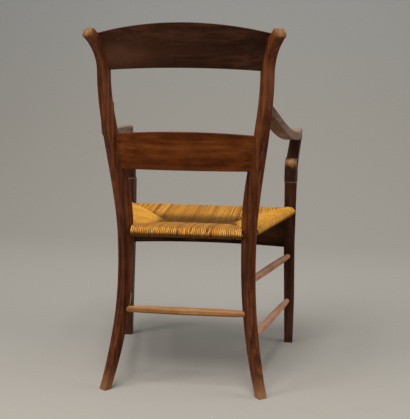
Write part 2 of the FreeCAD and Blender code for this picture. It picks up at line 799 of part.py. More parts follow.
def apron_board(legs):
    """Front apron with an arched lower edge; returns it with its mortise cutter."""
    y = -SEAT_DEPTH
    half = FRONT_HALF_SPAN
    outline = board_outline(half, APRON_LOW, APRON_ARCH, APRON_TOP, 0.0)
    board = Part.makeBox(2 * half, APRON_THICKNESS, 200, Vector(-half, y - APRON_THICKNESS / 2, APRON_LOW - 20))
    body = biggest(board.common(outline.translated(Vector(0, y, 0))).cut(legs))
    reach = FRONT_HALF_SPAN - LEG_SIDE / 2 + APRON_TENON_DEPTH
    solids = []
    for grow in (0.0, TENON_GAP):
        low = APRON_LOW + APRON_TENON_INSET - grow
        height = APRON_TOP - APRON_LOW - 2 * APRON_TENON_INSET + 2 * grow
        wide = APRON_TENON_THICKNESS + 2 * grow
        solids.append(Part.makeBox(2 * (reach + grow), wide, height, Vector(-reach - grow, y - wide / 2, low)))
    return body.fuse(solids[0]).removeSplitter(), solids[1]


def post_peg(height, grow=0.0):
    """Peg driven through the left post from its outer edge at a height."""
    half = post_width(height) / 2
    outer = post_point(height, half)
    inner = post_point(height, -half + PEG_END_GAP - grow)
    return peg(inner, outer, grow)


def peg(inner, outer, grow):
    """Peg whittled to flats, or the round hole for it when it is grown."""
    if grow > 0:
        return rod(inner, outer, PEG_RADIUS + grow)
    length = inner.distanceToPoint(outer)
    blank = polygon(shaved_outline(PEG_FLAT_COUNT, PEG_RADIUS, 0))
    return placed_along(blank.extrude(UP * length), inner, outer)


def drilled(rail, height):
    """Back rail with a hole for each post's peg."""
    for hole in both(post_peg(height, PEG_GAP)):
        rail = rail.cut(hole)
    return rail


def apron_pegs(grow=0.0):
    """Pegs driven from the left leg's front through the apron's tenon."""
    x = FRONT_HALF_SPAN - LEG_SIDE / 2 + APRON_TENON_DEPTH / 2
    middle = (APRON_LOW + APRON_TOP) / 2
    pegs = []
    for rise in (-APRON_PEG_SPACING / 2, APRON_PEG_SPACING / 2):
        height = middle + rise
        front = Vector(x, -SEAT_DEPTH - leg_half_side(height), height)
        back = Vector(x, -SEAT_DEPTH + LEG_SHAPE_SIDE / 2 - PEG_END_GAP + grow, height)
        pegs.append(peg(back, front, grow))
    return pegs


def leg_half_side(height):
    """Half of the front leg's side above its shaped part."""
    share = (height - LEG_SHAPE_HEIGHT) / (LEG_TOP - LEG_SHAPE_HEIGHT)
    return (LEG_SHAPE_SIDE + (LEG_SIDE - LEG_SHAPE_SIDE) * share) / 2


def build():
    """Every piece of the chair by its name."""
    pieces = {}
    post_space = both(post_blank(SHOULDER_GAP))
    leg_space = both(leg_blank(SHOULDER_GAP))
    post = post_blank()
    leg = leg_blank()
    post_cutters = []
    leg_cutters = []

    crest_half = REAR_HALF_SPAN + CREST_OVERLENGTH
    crest_outline = board_outline(
        crest_half, CREST_LOW - CREST_HORN, CREST_LOW_ARCH + CREST_HORN, CREST_TOP, CREST_TOP_FALL)
    crest, cutter = back_rail(
        crest_outline, CREST_LOW, CREST_TOP - CREST_TOP_DROP, CREST_THICKNESS, CREST_BOW,
        CREST_SETBACK, CREST_LEAN, CREST_TENON_INSET, post_space,
    )
    post_cutters.append(cutter)
    slat_half = REAR_HALF_SPAN + SLAT_OVERLENGTH
    slat_outline = board_outline(slat_half, SLAT_LOW, SLAT_LOW_ARCH, SLAT_TOP, SLAT_TOP_DROP)
    slat, cutter = back_rail(
        slat_outline, SLAT_LOW, SLAT_TOP - SLAT_TOP_DROP, SLAT_THICKNESS, SLAT_BOW,
        SLAT_SETBACK, SLAT_LEAN, SLAT_TENON_INSET, post_space,
    )
    post_cutters.append(cutter)

    for name, (start, end) in rail_ends().items():
        rise = RAIL_TENON_STAGGER if name == "left_seat_rail" else -RAIL_TENON_STAGGER
        carriers = {"front_seat_rail": leg_space, "rear_seat_rail": post_space}.get(name, post_space + leg_space)
        rail, cutter = joined_stick(
            seat_rail(start, end), start, end, 0.0, 0.0, RAIL_TENON_RADIUS, carriers, rise)
        pieces[name] = rail
        if name != "front_seat_rail":
            post_cutters.append(cutter)
        if name != "rear_seat_rail":
            leg_cutters.append(cutter)
    pieces["right_seat_rail"] = mirrored(pieces["left_seat_rail"])

    heights = {
        "upper": (UPPER_STRETCHER_REAR, UPPER_STRETCHER_FRONT, UPPER_STRETCHER_RADIUS),
        "lower": (LOWER_STRETCHER_REAR, LOWER_STRETCHER_FRONT, LOWER_STRETCHER_RADIUS),
    }
    for level, (rear_height, front_height, radius) in heights.items():
        start = post_point(rear_height)
        end = leg_point(front_height)
        stick = stretcher(start, end, SIDE_STRETCHER_FLAT_COUNT, radius, SIDE_STRETCHER_END_RADIUS)
        stick, cutter = joined_stick(
            stick, start, end, 0.0, 0.0, STRETCHER_TENON_RADIUS, post_space + leg_space)
        pieces[f"left_{level}_stretcher"] = stick
        pieces[f"right_{level}_stretcher"] = mirrored(stick)
        post_cutters.append(cutter)
        leg_cutters.append(cutter)
    end = post_point(REAR_STRETCHER_HEIGHT)
    start = Vector(-end.x, end.y, end.z)
    stick = stretcher(start, end, REAR_STRETCHER_FLAT_COUNT, REAR_STRETCHER_RADIUS, REAR_STRETCHER_END_RADIUS)
    stick, cutter = joined_stick(stick, start, end, 0.0, 0.0, STRETCHER_TENON_RADIUS, post_space)
    pieces["rear_stretcher"] = stick
    post_cutters.append(cutter)

    apron, cutter = apron_board(leg_space)
    leg_cutters += [cutter] + apron_pegs(PEG_GAP)
    pieces["front_apron"] = apron.cut(both_list(apron_pegs(PEG_GAP)))
    pieces["apron_pegs"] = Part.makeCompound(both_list(apron_pegs()))

    tenon_point, tenon_along = arm_joint()
    tenon_back = tenon_point + tenon_along * ARM_TENON_PAST
    tenon_front = tenon_point - tenon_along * ARM_TENON_DEPTH
    arm = biggest(arm_blank().cut(post_space))
    arm = arm.fuse(rod(tenon_back, tenon_front, ARM_TENON_RADIUS))
    post_cutters.append(
        rod(tenon_back + tenon_along * TENON_GAP, tenon_front, ARM_TENON_RADIUS + TENON_GAP))
    support = support_blank().cut(arm_blank(SHOULDER_GAP))
    column_top = arm_origin() - UP * (2 * ARM_ROLL_RADIUS + 12)
    column_tenon = rod(column_top, column_top + UP * (12 + COLUMN_TENON_LENGTH), COLUMN_TENON_RADIUS)
    column_mortise = rod(
        column_top, column_top + UP * (12 + COLUMN_TENON_LENGTH + TENON_GAP), COLUMN_TENON_RADIUS + TENON_GAP)
    support = biggest(support).fuse(column_tenon)
    arm = arm.cut(column_mortise)
    leg_tenon = rod(leg_point(LEG_TOP - 20), leg_point(LEG_TOP + SUPPORT_TENON_LENGTH), SUPPORT_TENON_RADIUS)
    support = support.cut(rod(
        leg_point(LEG_TOP - 20), leg_point(LEG_TOP + SUPPORT_TENON_LENGTH + TENON_GAP),
        SUPPORT_TENON_RADIUS + TENON_GAP))

    peg_heights = {"crest_rail_pegs": CREST_PEG_HEIGHT, "back_slat_pegs": SLAT_PEG_HEIGHT, "arm_pegs": tenon_point.z}
    for name, height in peg_heights.items():
        pieces[name] = Part.makeCompound(both(post_peg(height)))
        post_cutters.append(post_peg(height, PEG_GAP))
    pieces["crest_rail"] = drilled(crest, CREST_PEG_HEIGHT)
    pieces["lower_back_slat"] = drilled(slat, SLAT_PEG_HEIGHT)
    arm = arm.cut(post_peg(tenon_point.z, PEG_GAP))

    post = post.cut(post_cutters)
    leg = leg.cut(leg_cutters).fuse(leg_tenon).removeSplitter()
    sides = {"rear_post": post, "front_leg": leg, "arm": arm, "arm_support": support}
    for name, shape in sides.items():
        pieces[f"left_{name}"] = shape
        pieces[f"right_{name}"] = mirrored(shape)
    pieces["rush_seat"] = rush_seat(both(post_blank(RUSH_GAP)) + both(leg_blank(RUSH_GAP)))
    pieces["seat_stuffing"] = stuffing(RUSH_GAP)
    return pieces


def both_list(shapes):
    """Left pieces and their mirror images."""
    return [copy for shape in shapes for copy in both(shape)]


def main():
    """Build the chair, set its origin and write one file per piece."""
    os.makedirs("parts", exist_ok=True)
    pieces = build()
    box = Part.makeCompound(list(pieces.values())).optimalBoundingBox(False, False)
    shift = Vector(0, -(box.YMin + box.YMax) / 2, 0)
    for name, shape in pieces.items():
        shape.translate(shift)
        shape.exportStep(f"parts/{name}.step")
        print(name, "solids", len(shape.Solids), "valid", shape.isValid(), "volume", round(shape.Volume))
    print("overall", round(box.XLength, 1), round(box.YLength, 1), round(box.ZLength, 1), "shift", round(shift.y, 2))


if __name__ == "__main__":
    main()
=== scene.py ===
import logging
import math
import random
from dataclasses import dataclass, field
from enum import Enum
from typing import ClassVar

import bmesh
import bpy
from mathutils import Matrix, Vector


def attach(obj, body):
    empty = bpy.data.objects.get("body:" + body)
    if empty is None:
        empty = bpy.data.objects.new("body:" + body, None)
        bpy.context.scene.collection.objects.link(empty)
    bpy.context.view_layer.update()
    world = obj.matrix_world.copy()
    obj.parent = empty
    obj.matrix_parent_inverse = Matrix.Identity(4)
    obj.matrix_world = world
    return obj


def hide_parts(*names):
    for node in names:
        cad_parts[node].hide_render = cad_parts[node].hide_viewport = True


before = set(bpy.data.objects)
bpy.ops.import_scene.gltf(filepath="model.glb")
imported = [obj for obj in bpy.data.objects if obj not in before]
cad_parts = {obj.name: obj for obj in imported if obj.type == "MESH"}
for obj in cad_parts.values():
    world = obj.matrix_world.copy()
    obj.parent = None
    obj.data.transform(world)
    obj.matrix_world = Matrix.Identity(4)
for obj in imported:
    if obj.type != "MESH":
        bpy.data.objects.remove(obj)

log = logging.getLogger("rush_armchair")

MM = 0.001

Colour = tuple[float, float, float]
Place = tuple[float, float, float]


class Grain(Enum):
    """Direction that a piece's wood fibres run in, as the stretch of the pattern along X, Y and Z."""

    UP = (1.0, 1.0, 0.045)
    ACROSS = (0.045, 1.0, 1.0)
    BACK = (1.0, 0.05, 1.0)


class Panel(Enum):
    """The four panels of the rush, by the rail that each is wound over."""

    FRONT = "front"
    REAR = "rear"
    LEFT = "left"
    RIGHT = "right"


@dataclass
class Value:
    """A number socket that builds Math nodes when it is used in an expression."""

    tree: bpy.types.NodeTree
    socket: bpy.types.NodeSocket

    def _math(self, operation: str, first: "Value | float", second: "Value | float") -> "Value":
        """Adds one Math node.

        Args:
            operation: Name of the node's operation.
            first: Its first value.
            second: Its second value.

        Returns:
            The node's result.
        """
        node = self.tree.nodes.new("ShaderNodeMath")
        node.operation = operation
        for place, value in enumerate((first, second)):
            if isinstance(value, Value):
                self.tree.links.new(value.socket, node.inputs[place])
            else:
                node.inputs[place].default_value = value
        return Value(self.tree, node.outputs[0])

    def __add__(self, other: "Value | float") -> "Value":
        """Sum."""
        return self._math("ADD", self, other)

    __radd__ = __add__

    def __sub__(self, other: "Value | float") -> "Value":
        """Difference."""
        return self._math("SUBTRACT", self, other)

    def __rsub__(self, other: float) -> "Value":
        """Difference from a number."""
        return self._math("SUBTRACT", other, self)

    def __mul__(self, other: "Value | float") -> "Value":
        """Product."""
        return self._math("MULTIPLY", self, other)

    __rmul__ = __mul__

    def fraction(self) -> "Value":
        """Part after the decimal point."""
        return self._math("FRACT", self, 0.0)

    def most(self, other: "Value | float") -> "Value":
        """Larger of two values."""
        return self._math("MAXIMUM", self, other)


class Finish:
    """Node tree of one material, with short ways to add nodes to it."""

    def __init__(self, name: str) -> None:
        """Makes an empty material.

        Args:
            name: Name of the material.
        """
        self.material = bpy.data.materials.new(name)
        self.material.use_nodes = True
        self.tree = self.material.node_tree
        self.tree.nodes.clear()

    def add(self, kind: str, settings: dict | None = None, **inputs: object) -> bpy.types.Node:
        """Adds one node.

        Args:
            kind: Type of the node, without its ShaderNode prefix.
            settings: Properties that are set before its sockets; stops gives a ramp's colours.
            inputs: Values or links of its sockets, by name with _ for a blank.

        Returns:
            The node.
        """
        node = self.tree.nodes.new("ShaderNode" + kind)
        for name, value in (settings or {}).items():
            if name == "stops":
                self._set_stops(node.color_ramp, value)
            else:
                setattr(node, name, value)
        for name, value in inputs.items():
            self.connect(node, name.replace("_", " "), value)
        return node

    def connect(self, node: bpy.types.Node, name: str, value: object) -> None:
        """Links or sets one socket of a node.

        Args:
            node: The node.
            name: Name of its input, or its number.
            value: A Value, a socket, or a plain value.
        """
        open_inputs = (entry for entry in node.inputs if entry.name == name and entry.enabled)
        socket = node.inputs[int(name)] if name.isdigit() else next(open_inputs)
        if isinstance(value, Value):
            self.tree.links.new(value.socket, socket)
        elif isinstance(value, bpy.types.NodeSocket):
            self.tree.links.new(value, socket)
        elif isinstance(value, tuple) and socket.type == "RGBA":
            socket.default_value = (*value, 1.0)
        else:
            socket.default_value = value

    @staticmethod
    def _set_stops(ramp: bpy.types.ColorRamp, stops: list[tuple[float, Colour]]) -> None:
        """Gives a colour ramp its stops.

        Args:
            ramp: The ramp.
            stops: Place and colour of each stop.
        """
        while len(ramp.elements) < len(stops):
            ramp.elements.new(0.5)
        for element, (place, colour) in zip(ramp.elements, stops):
            element.position = place
            element.color = (*colour, 1.0)

    def value(self, node: bpy.types.Node, name: str | int = 0) -> Value:
        """Number that comes out of a node."""
        return Value(self.tree, node.outputs[name])

    def noise(
        self, vector: bpy.types.NodeSocket, scale: float, detail: float = 3.0, rough: float = 0.55
    ) -> Value:
        """Noise pattern.

        Args:
            vector: Coordinates that it reads.
            scale: Its scale, in cycles a metre on unstretched coordinates.
            detail: How many finer layers it has.
            rough: Share that each finer layer keeps.

        Returns:
            Its value, about 0.5 on average.
        """
        node = self.add("TexNoise", None, Vector=vector, Scale=scale, Detail=detail, Roughness=rough)
        return self.value(node, "Fac")

    def remap(self, value: Value, low: float, high: float) -> Value:
        """Smooth step of a value.

        Args:
            value: The value.
            low: Value at which the step is 0.
            high: Value at which the step is 1.

        Returns:
            The step.
        """
        settings = {"interpolation_type": "SMOOTHSTEP"}
        return self.value(self.add("MapRange", settings, Value=value, From_Min=low, From_Max=high))

    def mix(self, share: Value | float, first: object, second: object) -> bpy.types.NodeSocket:
        """Mixture of two colours.

        Args:
            share: How much of the second colour there is.
            first: Colour or colour socket.
            second: Colour or colour socket.

        Returns:
            The mixed colour's socket.
        """
        return self.add("Mix", {"data_type": "RGBA"}, Factor=share, A=first, B=second).outputs[2]

    def surface(self, shader: bpy.types.Node) -> bpy.types.Material:
        """Ends the tree in a shader.

        Args:
            shader: The shader's node.

        Returns:
            The finished material.
        """
        output = self.add("OutputMaterial")
        self.tree.links.new(shader.outputs[0], output.inputs["Surface"])
        return self.material


@dataclass(frozen=True)
class Patch:
    """Soft-edged area of a finish where the wood has another colour."""

    centre: Place
    reach: Place
    colour: Colour
    strength: float


@dataclass(frozen=True)
class Wood:
    """Hand-rubbed wood with grain, outside edges made pale by use and by painted highlight, and patches of
    its own.

    Pattern sizes are in cycles a metre, and lengths in metres.
    """

    name: str
    dark: Colour
    body: Colour
    light: Colour
    grain: Grain
    wear_and_highlight: Colour = (0.20, 0.10, 0.06)
    edge_wear_and_highlight: float = 0.35
    top_highlight_and_wear: float = 0.0
    roughness: float = 0.42
    gloss: float = 0.08
    patches: tuple[Patch, ...] = ()
    streak: float = 130.0
    board: ClassVar[float] = 16.0
    pore: ClassVar[float] = 820.0
    cloud: ClassVar[float] = 22.0
    scuff: ClassVar[float] = 60.0
    edge_reach: ClassVar[float] = 0.0035
    relief: ClassVar[float] = 0.0006

    def build(self) -> bpy.types.Material:
        """Makes the material.

        Returns:
            The finished material.
        """
        made = Finish(self.name)
        place = made.add("TexCoord").outputs["Object"]
        along = made.add("Mapping", None, Vector=place, Scale=self.grain.value).outputs[0]
        streaks = made.noise(along, self.streak, 4.0, 0.6)
        pores = made.noise(along, self.pore, 2.0)
        clouds = made.noise(place, self.cloud)
        tone = made.noise(along, self.board, 2.0) * 0.40 + streaks * 0.42 + clouds * 0.18
        stops = [(0.40, self.dark), (0.5, self.body), (0.61, self.light)]
        colour = made.add("ValToRGB", {"stops": stops}, Fac=tone).outputs["Color"]
        colour = made.mix(made.remap(pores, 0.56, 0.68) * 0.45, colour, self.dark)
        for patch in self.patches:
            colour = made.mix(self._patch_mask(made, place, patch, streaks), colour, patch.colour)
        colour = self._rubbed_and_highlit(made, place, streaks, colour)
        height = streaks * 0.6 + pores * 0.4
        bump = made.add("Bump", None, Height=height, Strength=0.22, Distance=self.relief)
        shader = made.add(
            "BsdfPrincipled",
            None,
            Base_Color=colour,
            Roughness=clouds * 0.22 + (self.roughness - 0.11),
            Normal=bump.outputs[0],
        )
        shader.inputs["Specular IOR Level"].default_value = self.gloss
        return made.surface(shader)

    def _rubbed_and_highlit(
        self, made: Finish, place: bpy.types.NodeSocket, streaks: Value, colour: bpy.types.NodeSocket
    ) -> bpy.types.NodeSocket:
        """Colour with its outside edges made pale, partly by use and partly as painted highlight, and its
        upward faces made pale as painted highlight of light from above, mixed with paling where they are
        handled.

        Args:
            made: The finish in the making.
            place: Object coordinates.
            streaks: Grain pattern that frays the pale upward faces.
            colour: The colour before it was rubbed.

        Returns:
            The colour with its paled edges and upward faces.
        """
        scuffs = made.noise(place, self.scuff)
        # Outside edges turn pale: rubbing from use, and a painted highlight along the edges.
        rubbed = made.remap(self._edge_mask(made) + scuffs * 0.5, 0.36, 0.62)
        colour = made.mix(rubbed * self.edge_wear_and_highlight, colour, self.wear_and_highlight)
        # Upward faces turn pale: painted highlight of light from above, mixed with rubbing from use.
        if self.top_highlight_and_wear > 0:
            normal = made.add("NewGeometry").outputs["Normal"]
            upward = made.value(made.add("SeparateXYZ", None, Vector=normal), "Z")
            top = made.remap(upward + streaks * 0.25, 0.62, 1.08)
            colour = made.mix(top * self.top_highlight_and_wear, colour, self.wear_and_highlight)
        return colour

    @staticmethod
    def _patch_mask(made: Finish, place: bpy.types.NodeSocket, patch: Patch, streaks: Value) -> Value:
        """Mask of one patch.

        Args:
            made: The finish in the making.
            place: Object coordinates.
            patch: The patch.
            streaks: Grain pattern that frays its edge.

        Returns:
            The mask, from 0 to the patch's strength.
        """
        scale = tuple(1.0 / reach for reach in patch.reach)
        offset = tuple(-centre * one for centre, one in zip(patch.centre, scale))
        moved = made.add("Mapping", None, Vector=place, Scale=scale, Location=offset)
        length = made.value(made.add("VectorMath", {"operation": "LENGTH"}, Vector=moved.outputs[0]), "Value")
        return (1.0 - made.remap(length + streaks * 2.4, 1.2, 2.7)) * patch.strength

    def _edge_mask(self, made: Finish) -> Value:
        """Mask that is high on outside edges and near 0 on flat faces.

        Args:
            made: The finish in the making.

        Returns:
            The mask.
        """
        rounded = made.add("Bevel", {"samples": 4}, Radius=self.edge_reach).outputs[0]
        plain = made.add("NewGeometry").outputs["Normal"]
        likeness = made.add("VectorMath", {"operation": "DOT_PRODUCT"}, **{"0": rounded, "1": plain})
        return (1.0 - made.value(likeness, "Value")) * 2.2


@dataclass(frozen=True)
class Rush:
    """Twisted rush: strands that differ in tone, with stained strands, painted shade in the twist grooves and
    between cords, and painted shade mixed with dust on the seat's lower part.

    Twists and dashes are counted to the metre of cord, blotches to the metre, and heights are in metres.
    """

    name: str
    pale: Colour
    straw: Colour
    brown: Colour
    shade_and_dust: Colour = (0.085, 0.028, 0.008)
    stain: Colour = (0.16, 0.03, 0.008)
    underside_shade_and_dust: float = 0.85
    gloss: float = 0.12
    plies: ClassVar[float] = 2.0
    twists: ClassVar[float] = 62.0
    dashes: ClassVar[float] = 44.0
    blotches: ClassVar[float] = 85.0
    underside_top: ClassVar[float] = 0.4045
    underside_bottom: ClassVar[float] = 0.3955
    relief: ClassVar[float] = 0.0008

    def build(self) -> bpy.types.Material:
        """Makes the material from each cord's UV map, its tone attribute and the attribute that marks the
        cord's sides for painted shade.

        Returns:
            The finished material.
        """
        made = Finish(self.name)
        chart = made.add("UVMap", {"uv_map": "twist"}).outputs[0]
        split = made.add("SeparateXYZ", None, Vector=chart)
        around = made.value(split, "X")
        length = made.value(split, "Y")
        own = made.value(made.add("Attribute", {"attribute_name": "tone"}), "Fac")
        place = made.add("TexCoord").outputs["Object"]
        fibre = made.add("Mapping", None, Vector=chart, Scale=(9.0, 34.0, 1.0)).outputs[0]
        leaf = made.noise(fibre, 3.0)
        blotch = made.noise(place, self.blotches)
        tone = own.most(0.3) * 0.34 + leaf * 0.6 + blotch * 0.5 - 0.24
        stops = [(0.14, self.brown), (0.46, self.straw), (0.8, self.pale)]
        colour = made.add("ValToRGB", {"stops": stops}, Fac=tone).outputs["Color"]
        turn = (around * self.plies + length * self.twists).fraction() - 0.5
        # Twist grooves are darkened as painted shade; the same grooves also shape the bump.
        groove = made.remap(turn * turn, 0.13, 0.25)
        colour = made.mix(groove * 0.5, colour, self.brown)
        stained = made.remap(own * -1.0, 0.1, 0.9)
        dash = made.remap((length * self.dashes + around).fraction(), 0.42, 0.5)
        colour = made.mix(dash * stained * 0.85, colour, self.stain)
        # The cords' sides, where they press against their neighbours, are darkened as painted shade.
        side_shade = made.value(made.add("Attribute", {"attribute_name": "side_shade"}), "Fac")
        colour = made.mix(made.remap(side_shade, 0.45, 0.95) * 0.85, colour, self.shade_and_dust)
        # Below the rolls' middle the rush darkens: painted shade, mixed with dust.
        height = made.value(made.add("SeparateXYZ", None, Vector=place), "Z")
        low = made.remap(height + blotch * 0.004, self.underside_top, self.underside_bottom)
        colour = made.mix(low * self.underside_shade_and_dust, colour, self.shade_and_dust)
        bump = made.add("Bump", None, Height=leaf * 0.3 - groove, Strength=0.8, Distance=self.relief)
        shader = made.add(
            "BsdfPrincipled", None, Base_Color=colour, Roughness=leaf * 0.25 + 0.42, Normal=bump.outputs[0]
        )
        shader.inputs["Specular IOR Level"].default_value = self.gloss
        return made.surface(shader)


BLACK_BROWN = (0.016, 0.006, 0.003)
# Painted highlight on the top cuts of the rear posts' tips.
TIP_HIGHLIGHT = (0.50, 0.25, 0.10)
FOOT_WEAR = (0.30, 0.14, 0.055)
# Painted highlight on the arm supports' knobs, mixed with rubbing from use.
KNOB_HIGHLIGHT_AND_WEAR = (0.46, 0.22, 0.09)
# Painted highlight along the ledge where each arm support steps onto its leg.
LEDGE_HIGHLIGHT = (0.30, 0.20, 0.15)

POST_WOOD = Wood(
    name="post_wood",
    dark=(0.026, 0.0055, 0.0015),
    body=(0.088, 0.0215, 0.0050),
    light=(0.185, 0.056, 0.0155),
    grain=Grain.UP,
    wear_and_highlight=(0.21, 0.105, 0.066),
    patches=(
        Patch((0.232, 0.276, 0.889), (0.022, 0.022, 0.018), TIP_HIGHLIGHT, 0.6),
        Patch((-0.232, 0.276, 0.889), (0.022, 0.022, 0.018), TIP_HIGHLIGHT, 0.6),
        Patch((0.195, 0.23, 0.0), (0.08, 0.08, 0.04), FOOT_WEAR, 0.55),
        Patch((-0.195, 0.23, 0.0), (0.08, 0.08, 0.04), FOOT_WEAR, 0.8),
    ),
)
LEG_WOOD = Wood(
    "leg_wood", (0.022, 0.007, 0.003), (0.050, 0.016, 0.0075), (0.10, 0.036, 0.017), Grain.UP, edge_wear_and_highlight=0.3
)
SUPPORT_WOOD = Wood(
    name="support_wood",
    dark=(0.008, 0.003, 0.0015),
    body=(0.022, 0.0075, 0.0035),
    light=(0.055, 0.018, 0.008),
    grain=Grain.UP,
    patches=(
        Patch((0.243, -0.236, 0.543), (0.03, 0.012, 0.014), KNOB_HIGHLIGHT_AND_WEAR, 0.9),
        Patch((-0.243, -0.236, 0.543), (0.03, 0.012, 0.014), KNOB_HIGHLIGHT_AND_WEAR, 0.9),
        Patch((0.243, -0.236, 0.4835), (0.05, 0.05, 0.0022), LEDGE_HIGHLIGHT, 0.8),
        Patch((-0.243, -0.236, 0.4835), (0.05, 0.05, 0.0022), LEDGE_HIGHLIGHT, 0.8),
    ),
)
CREST_WOOD = Wood(
    name="crest_wood",
    dark=(0.020, 0.0060, 0.0022),
    body=(0.036, 0.0115, 0.0045),
    light=(0.072, 0.025, 0.011),
    grain=Grain.ACROSS,
    wear_and_highlight=(0.17, 0.09, 0.065),
    # Paler warm patch on the crest's lower left: a painted sheen of the light.
    patches=(Patch((0.17, 0.25, 0.826), (0.12, 0.1, 0.032), (0.125, 0.050, 0.024), 0.42),),
)
SLAT_WOOD = Wood(
    name="slat_wood",
    dark=(0.045, 0.0095, 0.0015),
    body=(0.108, 0.0235, 0.0028),
    light=(0.175, 0.050, 0.0080),
    grain=Grain.ACROSS,
    wear_and_highlight=(0.20, 0.10, 0.06),
    streak=95.0,
)
# Pale pinkish grey throughout: painted highlight of light from above on the arms, mixed with rubbing from
# use.
ARM_WOOD = Wood(
    name="arm_wood",
    dark=(0.075, 0.040, 0.028),
    body=(0.160, 0.088, 0.062),
    light=(0.25, 0.155, 0.115),
    grain=Grain.BACK,
    wear_and_highlight=(0.37, 0.25, 0.175),
    edge_wear_and_highlight=0.5,
    top_highlight_and_wear=0.55,
)
APRON_WOOD = Wood(
    "apron_wood", BLACK_BROWN, (0.058, 0.020, 0.0065), (0.10, 0.036, 0.013), Grain.ACROSS, edge_wear_and_highlight=0.2
)
RAIL_WOOD = Wood(
    "rail_wood", (0.20, 0.10, 0.045), (0.30, 0.17, 0.08), (0.4, 0.25, 0.13), Grain.ACROSS, edge_wear_and_highlight=0.0
)
STRETCHER_WOOD = Wood(
    name="stretcher_wood",
    dark=(0.17, 0.068, 0.018),
    body=(0.30, 0.128, 0.040),
    light=(0.44, 0.215, 0.082),
    grain=Grain.ACROSS,
    wear_and_highlight=(0.45, 0.27, 0.14),
    edge_wear_and_highlight=0.25,
    roughness=0.5,
)
SIDE_STRETCHER_WOOD = Wood(
    name="side_stretcher_wood",
    dark=(0.15, 0.078, 0.048),
    body=(0.39, 0.170, 0.085),
    light=(0.53, 0.265, 0.140),
    grain=Grain.BACK,
    wear_and_highlight=(0.52, 0.34, 0.235),
    edge_wear_and_highlight=0.25,
    # Paler upward faces: painted highlight of light from above, mixed with rubbing.
    top_highlight_and_wear=0.5,
    roughness=0.5,
)
PEG_WOOD = Wood("peg_wood", BLACK_BROWN, (0.040, 0.013, 0.006), (0.08, 0.028, 0.013), Grain.UP)
FRONT_RUSH = Rush("front_rush", (0.95, 0.52, 0.095), (0.76, 0.33, 0.038), (0.28, 0.070, 0.010))
SIDE_RUSH = Rush("side_rush", (0.96, 0.54, 0.085), (0.80, 0.36, 0.036), (0.32, 0.10, 0.013))
REAR_RUSH = Rush("rear_rush", (0.86, 0.44, 0.080), (0.68, 0.29, 0.040), (0.24, 0.070, 0.013))
STUFFING_STRAW = Wood(
    "stuffing_straw", (0.20, 0.13, 0.05), (0.42, 0.31, 0.13), (0.60, 0.48, 0.24), Grain.ACROSS, edge_wear_and_highlight=0.0
)


class Woodwork:
    """Wooden frame: every piece keeps its solid and gets the finish of its wood."""

    finishes: ClassVar[dict[Wood, tuple[str, ...]]] = {
        POST_WOOD: ("left_rear_post", "right_rear_post"),
        LEG_WOOD: ("left_front_leg", "right_front_leg"),
        ARM_WOOD: ("left_arm", "right_arm"),
        SUPPORT_WOOD: ("left_arm_support", "right_arm_support"),
        CREST_WOOD: ("crest_rail",),
        SLAT_WOOD: ("lower_back_slat",),
        APRON_WOOD: ("front_apron",),
        STUFFING_STRAW: ("seat_stuffing",),
        RAIL_WOOD: ("front_seat_rail", "rear_seat_rail", "left_seat_rail", "right_seat_rail"),
        STRETCHER_WOOD: ("rear_stretcher",),
        SIDE_STRETCHER_WOOD: (
            "left_upper_stretcher",
            "right_upper_stretcher",
            "left_lower_stretcher",
            "right_lower_stretcher",
        ),
        PEG_WOOD: ("crest_rail_pegs", "back_slat_pegs", "arm_pegs", "apron_pegs"),
    }

    def dress(self) -> None:
        """Gives each solid its material."""
        for wood, names in self.finishes.items():
            material = wood.build()
            for name in names:
                self.cover(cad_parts[name], material)
                log.info("dressed %s in %s", name, wood.name)

    @staticmethod
    def cover(piece: bpy.types.Object, material: bpy.types.Material) -> None:
        """Puts one material in every slot of a piece.

        Args:
            piece: The piece.
            material: Its new material.
        """
        if not piece.material_slots:
            piece.data.materials.append(material)
        for slot in piece.material_slots:
            slot.material = material


